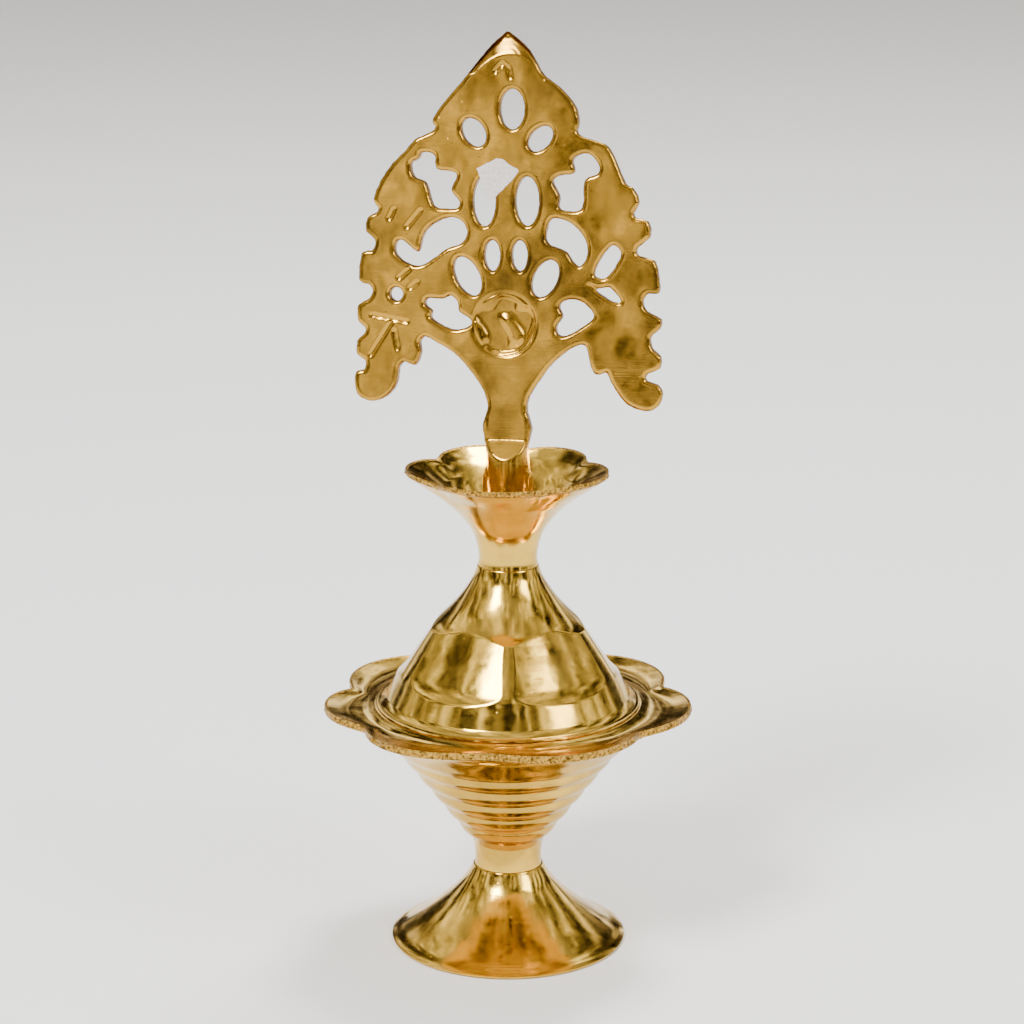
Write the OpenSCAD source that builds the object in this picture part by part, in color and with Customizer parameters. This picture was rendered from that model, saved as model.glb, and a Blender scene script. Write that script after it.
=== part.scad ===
// Small standing brass oil lamp: flared foot, ribbed petal bowl, bell-shaped dome cover,
// five-spout oil cup and a pierced cast plaque, held together by threaded studs.
// Millimetres, +Z up, origin at the centre of the plane the foot rests on.
// The front of the lamp faces -Y.

/* [Foot] */
// Radius of the foot over its rounded rim
foot_r = 24; // [23:0.5:26]
// Height of the foot, up to its joint with the bowl
foot_h = 16; // [15.5:0.25:16.5]
// Thickness of the foot's cast wall
foot_wall = 1.7; // [1.4:0.1:2]

/* [Bowl] */
// Radius of the bowl's petals at their tips
petal_tip_r = 38; // [37:0.5:39]
// Radius of the bowl's outline in the notches between petals
petal_notch_r = 33; // [32:0.5:34]
// Number of turned ribs round the bowl's cone
rib_count = 5; // [3:1:6]
// How far each rib stands out of the cone
rib_bulge = 0.45; // [0.2:0.05:0.6]
// Radius of the bowl's open mouth
mouth_r = 22.3; // [22:0.1:22.6]

/* [Dome] */
// Radius of the dome's flat flange
flange_r = 26.8; // [26:0.2:27.2]
// Crown radius across each flat ground on the dome
flat_crown_r = 32; // [31:0.5:33]
// Clearance between the dome's skirt and the bowl's mouth
skirt_gap = 0.3; // [0.2:0.05:0.5]

/* [Oil cup] */
// Radius of the oil cup's petals at their tips
cup_tip_r = 20.7; // [20.2:0.5:21.2]
// Radius of the oil cup's outline in the notches between petals
cup_notch_r = 17.6; // [17.1:0.5:18.1]

/* [Plaque] */
// Thickness of the cast plaque
plaque_t = 3; // [2.4:0.2:3.4]
// Turn of the plaque about the vertical, its right side to the front
plaque_turn = 10; // [0:1:15]
// Lean of the plaque to the back
plaque_lean = 8; // [0:1:10]
// Tilt of the plaque in its own plane, its tip to the left
plaque_tilt = 1.4; // [0:0.2:2]
// Radial clearance of the plaque's peg in its socket
peg_gap = 0.08; // [0.03:0.01:0.1]

/* [Fasteners] */
// Radius of the stud that joins foot and bowl
foot_stud_r = 2.5; // [2:0.25:2.5]
// Radius of the stud that joins dome and oil cup
cup_stud_r = 2; // [1.5:0.25:2]

/* [Hidden] */

$fn = 96;

brass = "#d4a94a";
cast_brass = "#b98d35";
steel = "#a8a9a4";
paper = "#efece4";

// Levels up the lamp
foot_boss_z = 11;
bowl_floor_z = 25.5;
seat_z = 50.8;
neck_z = 79.7;
cup_floor_z = 89;
socket_z = 84.5;
stud_gap = 0.05;

// Foot fasteners, upwards from the stud's lower end
foot_stud_z = 5;
foot_stud_top_z = 22.5;
foot_nut_t = 4;
foot_washer_t = 1;

// Neck fasteners, downwards from the dome's inner shoulder
neck_boss_z = 73;
cup_stud_z = 66.5;
cup_stud_top_z = 83;
neck_nut_t = 3.2;
neck_washer_t = 0.8;

// Directions of the notches between petals, anticlockwise from +X
bowl_notches = [15, 66, 116, 167, 211, 262, 322];
cup_notches = [25.5, 81, 145, 218, 292];

// Dome flats: their directions, and two points down the middle of each in section
flat_turns = [16, 90, 164, 236.5, 303.5];
flat_low = [22.75, 56.4];
flat_high = [15.1, 67.1];

// Plaque: its own plane stands on the cup floor's centre line at this height
plaque_z = 91.2;
peg_r = 2.6;

// One point of a Catmull-Rom curve through b and c
function between(a, b, c, d, t) =
    0.5 * (2 * b + (c - a) * t + (2 * a - 5 * b + 4 * c - d) * t * t
           + (3 * b - a - 3 * c + d) * t * t * t);

// A smooth open curve through hand-set points
function curve(p, steps = 4) =
    let (last = len(p) - 1)
    concat([for (i = [0 : last - 1], s = [0 : steps - 1])
                between(p[max(i - 1, 0)], p[i], p[i + 1], p[min(i + 2, last)], s / steps)],
           [p[last]]);

// A smooth closed curve through hand-set points
function loop(p, steps = 3) =
    let (n = len(p))
    [for (i = [0 : n - 1], s = [0 : steps - 1])
        between(p[(i + n - 1) % n], p[i], p[(i + 1) % n], p[(i + 2) % n], s / steps)];

// Points of a tilted oval
function oval(at, rx, ry, tilt, sides = 20) =
    [for (k = [0 : sides - 1])
        let (a = 360 * k / sides, x = rx * cos(a), y = ry * sin(a))
        at + [x * cos(tilt) - y * sin(tilt), x * sin(tilt) + y * cos(tilt)]];

// Distance from the axis to the centre of the arc that makes one petal
function petal_centre(tip, notch, half) =
    (tip * tip - notch * notch) / (2 * (tip - notch * cos(half)));

// Plan outline of a round dish whose edge is a ring of petals
module petal_outline(tip, notch, notches) {
    circle(r = notch * 0.9);
    n = len(notches);
    for (i = [0 : n - 1]) {
        from = notches[i];
        to = notches[(i + 1) % n] + (i == n - 1 ? 360 : 0);
        half = (to - from) / 2;
        d = petal_centre(tip, notch, half);
        rotate(from + half)
            translate([d, 0])
                circle(r = tip - d);
    }
}

// Foot -------------------------------------------------------------------

module foot() {
    neck_r = 7.2;
    flare = curve([[foot_r, 0.6], [21, 2.2], [17, 5], [12.8, 8.6], [9.3, 12.3],
                   [7.6, 15], [neck_r, foot_h]]);
    hollow = curve([[foot_r - foot_wall, 0], [19.8, 1.2], [16, 3.6], [11.8, 7.2],
                    [8.6, 10.2], [7.6, foot_boss_z]]);
    color(brass)
        difference() {
            rotate_extrude()
                polygon(concat([[0, 0], [foot_r - 0.5, 0]], flare, [[0, foot_h]]));
            rotate_extrude()
                polygon(concat([[0, -1], [foot_r - foot_wall, -1]], hollow, [[0, foot_boss_z]]));
            translate([0, 0, foot_boss_z - 1])
                cylinder(r = foot_stud_r + stud_gap, h = foot_h);
        }
}

// Bowl -------------------------------------------------------------------

rib_low = [7.9, 22.2];
rib_high = [22.3, 41.3];

// Convex ribs stacked up the bowl's cone
function rib_points() =
    [for (i = [0 : rib_count - 1], s = [0 : 5])
        let (f = (i + s / 6) / rib_count,
             out = rib_bulge * (sin(180 * s / 6) - 0.5))
        rib_low + f * (rib_high - rib_low) + out * [0.8, -0.6]];

module bowl_section() {
    underside = curve([[24.2, 42.8], [26.4, 45.2], [29.5, 47.6], [32.7, 48.6],
                       [petal_tip_r + 1, 50.1]]);
    top = curve([[petal_tip_r + 1, 51.6], [35.3, 50.85], [31.2, 49.95], [28.6, 50.2],
                 [27.4, seat_z]]);
    inside = curve([[mouth_r, 47], [20.8, 44], [17.2, 38.8], [8.4, 27.4], [5.5, bowl_floor_z]]);
    polygon(concat([[0, foot_h], [6.9, foot_h], [6.9, 19.4], [7.2, 21]],
                   rib_points(), [rib_high], underside, top,
                   [[mouth_r, seat_z]], inside, [[0, bowl_floor_z]]));
}

module petal_bowl() {
    color(brass)
        difference() {
            intersection() {
                rotate_extrude()
                    bowl_section();
                linear_extrude(60)
                    petal_outline(petal_tip_r, petal_notch_r, bowl_notches);
            }
            translate([0, 0, foot_h - 1])
                cylinder(r = foot_stud_r + stud_gap, h = foot_stud_top_z + 1.5 - foot_h);
        }
}

// Dome -------------------------------------------------------------------

module dome_section() {
    skirt_r = mouth_r - skirt_gap;
    skirt_z = seat_z - 3;
    outside = curve([[24.75, 52.4], [23.8, 54.3], [22.75, 56.4], [21.9, 58.1], [19.95, 61.1],
                     [17.95, 64.1], [16, 67.1]]);
    flare = curve([[16, 67.1], [14, 68.5], [11.1, 71.4], [8.75, 74.4], [7, 77.3],
                   [6.2, neck_z]]);
    inside = curve([[skirt_r - 1.5, seat_z], [19.8, 56], [16.2, 61.5], [12.4, 66],
                    [8.6, 70], [6.2, neck_boss_z]]);
    polygon(concat([[skirt_r - 1.5, skirt_z], [skirt_r, skirt_z], [skirt_r, seat_z],
                    [flange_r - 0.2, seat_z], [flange_r, seat_z + 0.2], [flange_r - 0.1, 51.25],
                    [flange_r - 0.7, 51.35]],
                   outside, flare, [[0, neck_z], [0, neck_boss_z]],
                   [for (i = [len(inside) - 1 : -1 : 0]) inside[i]]));
}

// Everything outside one ground flat, whose face is crowned like the side of a wide drum
module flat_cutter() {
    lean = atan2(flat_low[0] - flat_high[0], flat_high[1] - flat_low[1]);
    inward = 8;
    outward = 12;
    half_w = 20;
    below = 1.5;
    cut_h = 18.5;
    drum_over = 1.5;
    translate([flat_low[0], 0, flat_low[1]])
        rotate([0, -lean, 0])
            difference() {
                translate([-inward, -half_w, -below])
                    cube([inward + outward, 2 * half_w, cut_h]);
                translate([-flat_crown_r, 0, -below - drum_over])
                    cylinder(r = flat_crown_r, h = cut_h + 2 * drum_over);
            }
}

module bell_dome() {
    color(brass)
        difference() {
            rotate_extrude()
                dome_section();
            for (turn = flat_turns)
                rotate(turn)
                    flat_cutter();
            translate([0, 0, neck_boss_z - 1])
                cylinder(r = cup_stud_r + stud_gap, h = neck_z);
        }
}

// Oil cup ----------------------------------------------------------------

module cup_section() {
    outside = curve([[6.1, neck_z], [5.9, 81.6], [6.4, 84.6], [7.6, 87.5], [10.4, 91],
                     [13.8, 94], [17.35, 96.4], [cup_tip_r + 0.6, 98.6]]);
    inside = curve([[cup_tip_r + 0.6, 99.8], [16.8, 97.6], [12.8, 94.8], [9.2, 91.4],
                    [7, 89.6], [5.6, cup_floor_z]]);
    polygon(concat([[0, neck_z]], outside, inside, [[0, cup_floor_z]]));
}

module oil_cup() {
    color(brass)
        difference() {
            intersection() {
                rotate_extrude()
                    cup_section();
                linear_extrude(120)
                    petal_outline(cup_tip_r, cup_notch_r, cup_notches);
            }
            translate([0, 0, neck_z - 1])
                cylinder(r = cup_stud_r + stud_gap, h = cup_stud_top_z + 1.4 - neck_z);
            translate([0, 0, socket_z])
                cylinder(r = peg_r + peg_gap, h = 10);
        }
}

// Plaque -----------------------------------------------------------------

// Outline of the left wing, from the tip down to the stem
left_edge = [
    [0, 94.2], [-2.8, 91.8], [-5.5, 88.8], [-9, 84.5], [-12.5, 80.6], [-15, 77], [-14.4, 75.8],
    [-14.8, 74.8], [-18.4, 73.2], [-20.4, 71], [-23, 68.5], [-25.4, 65.2], [-27, 61.2],
    [-25.8, 59.6], [-26.6, 58.6], [-28.2, 57.8], [-28.5, 55], [-26.6, 53.4], [-27.2, 51.2],
    [-29.4, 50.8], [-30, 45.2], [-28, 44.6], [-27.2, 43.2], [-28, 41.6], [-30.2, 40.4],
    [-30.2, 37.2], [-28.8, 36], [-28.8, 34.8], [-30.4, 33.4], [-30.5, 30.5], [-28.8, 29.4],
    [-29, 27.4], [-30.6, 27.2], [-31, 25], [-30.5, 22.6], [-29, 21.5], [-27.6, 21.2],
    [-25.5, 21.6], [-23.6, 23], [-22.4, 25], [-22, 28], [-20.8, 29.2], [-18.6, 28.4],
    [-17.4, 31.2], [-17.8, 33], [-16.6, 34.3], [-14.2, 33], [-11.6, 31.6], [-9.4, 29.8],
    [-7.4, 27.4], [-5.6, 25], [-4.4, 22.6], [-3.9, 20.2], [-4.9, 17], [-4.6, 14],
    [-4.2, 11.4], [-4.2, 8.5], [-5, 6.4], [-5, 0]];

// Outline of the right wing, from the stem up to the tip
right_edge = [
    [5, 0], [5.1, 5.5], [4.4, 7.8], [4, 12.4], [4.9, 16], [3.9, 19.4], [4.4, 22.4], [7, 26.4],
    [8.8, 28.8], [11.8, 31.4], [14, 32.6], [15.8, 32.6], [16.5, 29.5], [17.4, 27.2], [18.8, 27],
    [20, 27.4], [20.8, 25.5], [22.5, 22.8], [24.2, 21], [27.8, 19.8], [30.2, 20.8],
    [31, 23.4], [30, 25], [27.7, 25.8], [28, 27.2], [30.4, 28.2], [30.6, 30.6], [29, 32],
    [28.5, 34.4], [30.4, 36], [30.6, 38], [27.8, 39.4], [27, 41.4], [28, 43], [30.2, 43],
    [30.1, 46], [29.3, 49.4], [26, 50.3], [25.9, 52], [28.4, 54], [28, 57], [25.5, 57.7],
    [25.1, 58.8], [26.2, 60.8], [25, 63.5], [23.4, 64.4], [21.7, 68.5], [20, 71.6], [18, 72.6],
    [14.6, 73.7], [13.8, 74.8], [14.2, 76], [13.7, 79.2], [11.4, 82.2], [9.4, 84],
    [7.2, 85.6], [5.8, 88], [4.4, 90.4], [2.2, 92.6]];

// Ovals pierced through the plaque: centre, half width, half height, tilt
oval_holes = [
    [[1, 79], 2.5, 4, 0], [[-6.7, 74.5], 2.2, 3.1, 35], [[6.6, 73.2], 2, 3, -45],
    [[-4.6, 61], 2.3, 5, 0], [[4, 61], 2.4, 4.9, 0], [[-3, 50.3], 1.6, 3.1, 0],
    [[2.5, 50.3], 1.6, 3.1, 0], [[-8, 46.2], 2.4, 4.2, 27], [[7.6, 45.8], 2.4, 4, -27],
    [[-22.4, 42.6], 1.4, 1.4, 0]];

// Leaf-shaped openings
leaf_holes = [
    [[-17.2, 70.6], [-14.6, 70.2], [-14.2, 67.4], [-11.4, 66.9], [-10, 66], [-11.2, 63.2],
     [-9.6, 61], [-10, 59.6], [-12.6, 59.5], [-15, 60.2], [-16.4, 64.6], [-18.8, 65.8],
     [-19.4, 68.4], [-17.8, 69.4]],
    [[15.8, 70.4], [18, 68.6], [18.2, 66.4], [15.4, 65], [15, 59.6], [11.6, 59.1],
     [10.2, 59.8], [10.4, 62], [9, 64.8], [10.4, 66], [13.4, 66.6], [13, 69.2]],
    [[-12, 57.8], [-9.2, 57.2], [-8, 54.8], [-9.2, 52.7], [-12.2, 51.6], [-14.8, 49.7],
     [-17.7, 48.2], [-20.5, 48.8], [-22.6, 50.7], [-22.4, 53], [-20.8, 53.2], [-18, 51],
     [-17.2, 53.6], [-15.6, 56]],
    [[8.8, 57.6], [12.2, 57], [14.8, 54.8], [16, 52.3], [15.8, 49.8], [14.4, 48.2], [13, 49.2],
     [11.6, 51.2], [8.3, 52.5], [7.7, 54.4]],
    [[21, 52.5], [22.7, 51], [22.2, 49.3], [20.2, 46.4], [18.6, 45.8], [17.3, 46.6], [18.6, 49.8]],
    [[16.4, 44.5], [18.2, 43.9], [20.6, 44.1], [22.8, 41.4], [21.4, 41.2], [19.2, 42.3]],
    [[-16, 41.8], [-13, 41.7], [-11.4, 42.4], [-10, 41.2], [-9.6, 39.2], [-7.2, 37.6],
     [-7.8, 36.2], [-11.4, 35.6], [-15.4, 37.8], [-15.2, 39.2], [-16.6, 40.5]],
    [[12.1, 41.7], [15, 41.3], [17.3, 39], [16.6, 37.4], [12.5, 34.8], [10.3, 34.6],
     [9.8, 36.4], [11.1, 38.4], [10.3, 40.4]]];

// Torn outline of the label
label_edge = [[0.6, 70.6], [2.2, 70], [3.4, 68.8], [2.6, 67.2], [1.4, 65.4], [0.4, 64.6],
              [-0.8, 63.2], [-2.4, 61.8], [-4, 61.6], [-4.8, 64], [-6, 67.4], [-2.8, 69]];

roundel_at = [-0.5, 36.7];
roundel_r = 6.2;
roundel_depth = 0.8;

// Places children drawn in the plaque's own plane: x across, y up, z to the front
module plaque_plane() {
    translate([0, 0, plaque_z])
        rotate([0, 0, -plaque_turn])
            rotate([90 - plaque_lean, 0, 0])
                rotate([0, 0, plaque_tilt])
                    children();
}

module pierced_plate() {
    plaque_plane()
        difference() {
            translate([0, 0, -plaque_t / 2])
                linear_extrude(plaque_t)
                    difference() {
                        polygon(concat(curve(left_edge, 2), curve(right_edge, 2)));
                        for (h = oval_holes)
                            polygon(oval(h[0], h[1], h[2], h[3]));
                        for (h = leaf_holes)
                            polygon(loop(h));
                    }
            translate([roundel_at[0], roundel_at[1], plaque_t / 2 - roundel_depth])
                cylinder(r = roundel_r, h = roundel_depth + 1);
        }
}

module finial_plaque() {
    stem_top_z = 106;
    foot_of_stem_r = 5;
    color(cast_brass)
        union() {
            difference() {
                pierced_plate();
                translate([-20, -20, 0])
                    cube([40, 40, cup_floor_z + 1]);
            }
            translate([0, 0, cup_floor_z])
                rotate_extrude()
                    polygon(concat([[0, 0], [foot_of_stem_r, 0]],
                                   curve([[foot_of_stem_r, 0.6], [4.4, 3.4], [3.9, 7],
                                          [3.2, 12], [1.2, stem_top_z - cup_floor_z]]),
                                   [[0, stem_top_z - cup_floor_z]]));
            translate([0, 0, socket_z + 0.3])
                cylinder(r = peg_r, h = cup_floor_z - socket_z);
        }
}

module paper_label() {
    label_t = 0.2;
    color(paper)
        plaque_plane()
            translate([0, 0, plaque_t / 2])
                linear_extrude(label_t)
                    polygon(label_edge);
}

// Fasteners --------------------------------------------------------------

// Flat washer standing on the XY plane
module washer(outer, inner, t) {
    difference() {
        cylinder(r = outer, h = t);
        translate([0, 0, -1])
            cylinder(r = inner, h = t + 2);
    }
}

// Hexagon nut standing on the XY plane
module nut(across_flats, inner, t) {
    difference() {
        cylinder(r = across_flats / (2 * cos(30)), h = t, $fn = 6);
        translate([0, 0, -1])
            cylinder(r = inner, h = t + 2);
    }
}

module foot_stud() {
    color(steel)
        translate([0, 0, foot_stud_z])
            cylinder(r = foot_stud_r, h = foot_stud_top_z - foot_stud_z);
}

module foot_washer() {
    color(steel)
        translate([0, 0, foot_boss_z - foot_washer_t])
            washer(6, foot_stud_r + stud_gap, foot_washer_t);
}

module foot_nut() {
    color(brass)
        translate([0, 0, foot_boss_z - foot_washer_t - foot_nut_t])
            nut(8, foot_stud_r + stud_gap, foot_nut_t);
}

module cup_stud() {
    color(steel)
        translate([0, 0, cup_stud_z])
            cylinder(r = cup_stud_r, h = cup_stud_top_z - cup_stud_z);
}

module neck_washer() {
    color(steel)
        translate([0, 0, neck_boss_z - neck_washer_t])
            washer(4.5, cup_stud_r + stud_gap, neck_washer_t);
}

module neck_nut() {
    color(brass)
        translate([0, 0, neck_boss_z - neck_washer_t - neck_nut_t])
            nut(7, cup_stud_r + stud_gap, neck_nut_t);
}

foot();
petal_bowl();
bell_dome();
oil_cup();
finial_plaque();
paper_label();
foot_stud();
foot_washer();
foot_nut();
cup_stud();
neck_washer();
neck_nut();
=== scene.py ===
"""A small standing brass oil lamp: foot, petal bowl, bell dome, five-spout oil cup and a pierced plaque."""

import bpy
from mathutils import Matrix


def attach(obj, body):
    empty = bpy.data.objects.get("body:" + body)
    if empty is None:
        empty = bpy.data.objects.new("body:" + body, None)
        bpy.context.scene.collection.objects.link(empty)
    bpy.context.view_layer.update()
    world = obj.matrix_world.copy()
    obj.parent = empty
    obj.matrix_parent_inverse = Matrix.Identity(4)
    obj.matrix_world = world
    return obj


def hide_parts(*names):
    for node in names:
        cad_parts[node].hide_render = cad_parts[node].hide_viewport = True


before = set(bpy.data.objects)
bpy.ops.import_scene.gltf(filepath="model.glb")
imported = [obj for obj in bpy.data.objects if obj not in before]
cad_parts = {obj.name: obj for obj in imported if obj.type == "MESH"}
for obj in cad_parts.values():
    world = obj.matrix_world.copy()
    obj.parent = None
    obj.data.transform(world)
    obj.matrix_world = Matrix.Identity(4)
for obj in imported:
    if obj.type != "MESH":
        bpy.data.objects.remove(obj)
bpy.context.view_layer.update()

import logging
import math
from dataclasses import dataclass, field
from enum import Enum

import bmesh
import bpy
from mathutils import Matrix, Vector, noise
from mathutils.kdtree import KDTree

LOG = logging.getLogger("oil_lamp")
MM = 0.001
FULL_TURN = 2 * math.pi
Point = tuple[float, float]


# Small helpers ------------------------------------------------------------


def linear(hex_colour: str) -> tuple[float, float, float, float]:
    """Turn an sRGB hex colour into linear light.

    Args:
        hex_colour: Six hex digits, without a hash sign.

    Returns:
        Red, green, blue and an alpha of 1.
    """
    channels = [int(hex_colour[i:i + 2], 16) / 255 for i in (0, 2, 4)]
    red, green, blue = [c / 12.92 if c <= 0.04045 else ((c + 0.055) / 1.055) ** 2.4 for c in channels]
    return red, green, blue, 1.0


def smoothstep(low: float, high: float, value: float) -> float:
    """Ease from 0 at low to 1 at high.

    Args:
        low: Value that gives 0.
        high: Value that gives 1.
        value: The value to ease.

    Returns:
        A number from 0 to 1.
    """
    t = min(max((value - low) / (high - low), 0.0), 1.0)
    return t * t * (3 - 2 * t)


def smooth_line(points: list[Point], spacing: float = 0.4) -> list[Point]:
    """Run a Catmull-Rom curve through given section points.

    Args:
        points: Radius and height pairs, in millimetres.
        spacing: Rough distance between the points returned, in millimetres.

    Returns:
        The curve's points, both ends included.
    """
    line: list[Point] = []
    last = len(points) - 1
    for i in range(last):
        a, b, c, d = (Vector(points[k]) for k in (max(i - 1, 0), i, i + 1, min(i + 2, last)))
        steps = max(1, round((c - b).length / spacing))
        for s in range(steps):
            t = s / steps
            at = 0.5 * (2 * b + (c - a) * t + (2 * a - 5 * b + 4 * c - d) * t * t
                        + (3 * b - a - 3 * c + d) * t ** 3)
            line.append((at.x, at.y))
    line.append(points[last])
    return line


def bead(value: float, centre: float, width: float) -> float:
    """Give the height of a soft round bead across its width.

    Args:
        value: Distance across the bead.
        centre: Where the bead is highest.
        width: Distance from its middle to its edge.

    Returns:
        A number from 0 outside the bead to 1 on its crest.
    """
    t = min(abs(value - centre) / width, 1.0)
    return 0.5 * (1 + math.cos(math.pi * t))


def add_node(tree: bpy.types.NodeTree, kind: str, settings: dict | None = None,
             inputs: dict | None = None) -> bpy.types.Node:
    """Add a shader node with its settings and links.

    Args:
        tree: The node tree it goes in.
        kind: Blender's type name for the node.
        settings: Attributes to set on the node.
        inputs: Input names or numbers, each with a value or with the socket to link from.

    Returns:
        The new node.
    """
    node = tree.nodes.new(kind)
    for name, value in (settings or {}).items():
        setattr(node, name, value)
    for key, value in (inputs or {}).items():
        if isinstance(value, bpy.types.NodeSocket):
            tree.links.new(value, node.inputs[key])
        else:
            node.inputs[key].default_value = value
    return node


def start_material(name: str) -> tuple[bpy.types.Material, bpy.types.NodeTree, bpy.types.Node,
                                       bpy.types.NodeSocket]:
    """Start a material whose patterns lie on Object coordinates.

    Args:
        name: The material's name.

    Returns:
        The material, its node tree, its shader and the socket of the Object coordinates.
    """
    material = bpy.data.materials.new(name)
    material.use_nodes = True
    tree = material.node_tree
    place = add_node(tree, "ShaderNodeTexCoord").outputs["Object"]
    return material, tree, tree.nodes["Principled BSDF"], place


def set_ramp(ramp_node: bpy.types.Node, stops: list[tuple[float, tuple]]) -> None:
    """Set the stops of a colour ramp.

    Args:
        ramp_node: A colour ramp node.
        stops: Position and colour pairs, in order.
    """
    elements = ramp_node.color_ramp.elements
    while len(elements) < len(stops):
        elements.new(1.0)
    for element, (position, colour) in zip(elements, stops):
        element.position = position
        element.color = colour


# Finishes -----------------------------------------------------------------


@dataclass(frozen=True)
class Brass:
    """Cast yellow brass (about 65% copper, 35% zinc), worked and polished to a chosen degree.

    Polished brass is a bright warm mirror. Lathe marks stretch its highlights round the axis, buffing
    leaves soft waves in them, and thin tarnish makes some patches browner and duller.
    """

    name: str
    colour: str = "DDB347"
    tarnish: str = "A27A28"
    tarnish_share: float = 0.55
    roughness: float = 0.13
    lathe_spacing_mm: float = 0.45
    lathe_depth: float = 0.12
    wave_size_mm: float = 9.0
    wave_depth: float = 0.10
    pit_share: float = 0.25
    pit_spacing_mm: float = 1.6
    pit_patch_mm: float = 6.0
    smear_size_mm: float = 3.5
    scratch_depth: float = 0.0
    anisotropy: float = 0.35

    def build(self) -> bpy.types.Material:
        """Build the finish as a material.

        Returns:
            The new material.
        """
        material, tree, shader, place = start_material(self.name)
        patches = add_node(tree, "ShaderNodeTexNoise", inputs={
            "Vector": place, "Scale": 1 / (self.wave_size_mm * MM), "Detail": 5.0, "Roughness": 0.6})
        tarnish = add_node(tree, "ShaderNodeMapRange", inputs={
            "Value": patches.outputs["Fac"], "From Min": 0.46, "From Max": 0.7, "To Max": self.tarnish_share})
        # Inputs 6 and 7 and output 2 are the mix's colour sockets, which share their names with others
        colour = add_node(tree, "ShaderNodeMix", {"data_type": "RGBA"}, {
            "Factor": tarnish.outputs["Result"], 6: linear(self.colour), 7: linear(self.tarnish)})
        tree.links.new(colour.outputs[2], shader.inputs["Base Color"])
        smears = add_node(tree, "ShaderNodeTexNoise", inputs={
            "Vector": place, "Scale": 1 / (self.smear_size_mm * MM), "Detail": 4.0, "Roughness": 0.7})
        gloss = add_node(tree, "ShaderNodeMapRange", inputs={
            "Value": smears.outputs["Fac"], "From Min": 0.3, "From Max": 0.75,
            "To Min": self.roughness * 0.65, "To Max": self.roughness * 1.7})
        tree.links.new(gloss.outputs["Result"], shader.inputs["Roughness"])
        shader.inputs["Metallic"].default_value = 1.0
        shader.inputs["Anisotropic"].default_value = self.anisotropy
        bump = self.surface(tree, place)
        tree.links.new(bump, shader.inputs["Normal"])
        return material

    def surface(self, tree: bpy.types.NodeTree, place: bpy.types.NodeSocket) -> bpy.types.NodeSocket:
        """Add the bumps: buffing waves, lathe marks, scratches and casting pits.

        Args:
            tree: The material's node tree.
            place: Object coordinates.

        Returns:
            The socket that holds the bumped normal.
        """
        waves = add_node(tree, "ShaderNodeTexNoise", inputs={
            "Vector": place, "Scale": 1 / (self.wave_size_mm * 0.6 * MM), "Detail": 1.5})
        normal = add_node(tree, "ShaderNodeBump", inputs={
            "Height": waves.outputs["Fac"], "Strength": self.wave_depth,
            "Distance": 1.2 * MM}).outputs["Normal"]
        if self.lathe_depth:
            stretched = add_node(tree, "ShaderNodeMapping", inputs={"Vector": place, "Scale": (4, 4, 1000)})
            marks = add_node(tree, "ShaderNodeTexNoise", inputs={
                "Vector": stretched.outputs["Vector"], "Scale": 1 / self.lathe_spacing_mm, "Detail": 3.0})
            normal = add_node(tree, "ShaderNodeBump", inputs={
                "Height": marks.outputs["Fac"], "Strength": self.lathe_depth, "Distance": 0.05 * MM,
                "Normal": normal}).outputs["Normal"]
        if self.scratch_depth:
            turned = add_node(tree, "ShaderNodeMapping", inputs={
                "Vector": place, "Rotation": (0, math.radians(52), 0), "Scale": (60, 60, 2600)})
            lines = add_node(tree, "ShaderNodeTexNoise", inputs={
                "Vector": turned.outputs["Vector"], "Scale": 1.0, "Detail": 4.0, "Roughness": 0.65})
            normal = add_node(tree, "ShaderNodeBump", inputs={
                "Height": lines.outputs["Fac"], "Strength": self.scratch_depth, "Distance": 0.06 * MM,
                "Normal": normal}).outputs["Normal"]
        cells = add_node(tree, "ShaderNodeTexVoronoi", inputs={
            "Vector": place, "Scale": 1 / (self.pit_spacing_mm * MM)})
        pits = add_node(tree, "ShaderNodeMapRange", inputs={
            "Value": cells.outputs["Distance"], "From Min": 0.05, "From Max": 0.14})
        where = add_node(tree, "ShaderNodeMapRange", inputs={
            "Value": add_node(tree, "ShaderNodeTexNoise", inputs={
                "Vector": place, "Scale": 1 / (self.pit_patch_mm * MM)}).outputs["Fac"],
            "From Min": 0.5, "From Max": 0.62, "To Max": self.pit_share})
        return add_node(tree, "ShaderNodeBump", inputs={
            "Height": pits.outputs["Result"], "Strength": where.outputs["Result"], "Distance": 0.12 * MM,
            "Normal": normal}).outputs["Normal"]


@dataclass(frozen=True)
class Mottled:
    """A finish whose grain both mottles its colour and roughens its surface."""

    name: str
    colour: str
    dark: str
    grain_mm: float
    detail: float
    grain_roughness: float
    dark_below: float
    bump: float
    bump_mm: float
    metallic: float
    roughness: float

    def build(self) -> bpy.types.Material:
        """Build the finish as a material.

        Returns:
            The new material.
        """
        material, tree, shader, place = start_material(self.name)
        grain = add_node(tree, "ShaderNodeTexNoise", inputs={
            "Vector": place, "Scale": 1 / (self.grain_mm * MM), "Detail": self.detail,
            "Roughness": self.grain_roughness})
        colour = add_node(tree, "ShaderNodeValToRGB", inputs={"Fac": grain.outputs["Fac"]})
        set_ramp(colour, [(self.dark_below, linear(self.dark)), (0.6, linear(self.colour))])
        tree.links.new(colour.outputs["Color"], shader.inputs["Base Color"])
        bump = add_node(tree, "ShaderNodeBump", inputs={
            "Height": grain.outputs["Fac"], "Strength": self.bump, "Distance": self.bump_mm * MM})
        tree.links.new(bump.outputs["Normal"], shader.inputs["Normal"])
        shader.inputs["Metallic"].default_value = self.metallic
        shader.inputs["Roughness"].default_value = self.roughness
        return material


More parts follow.
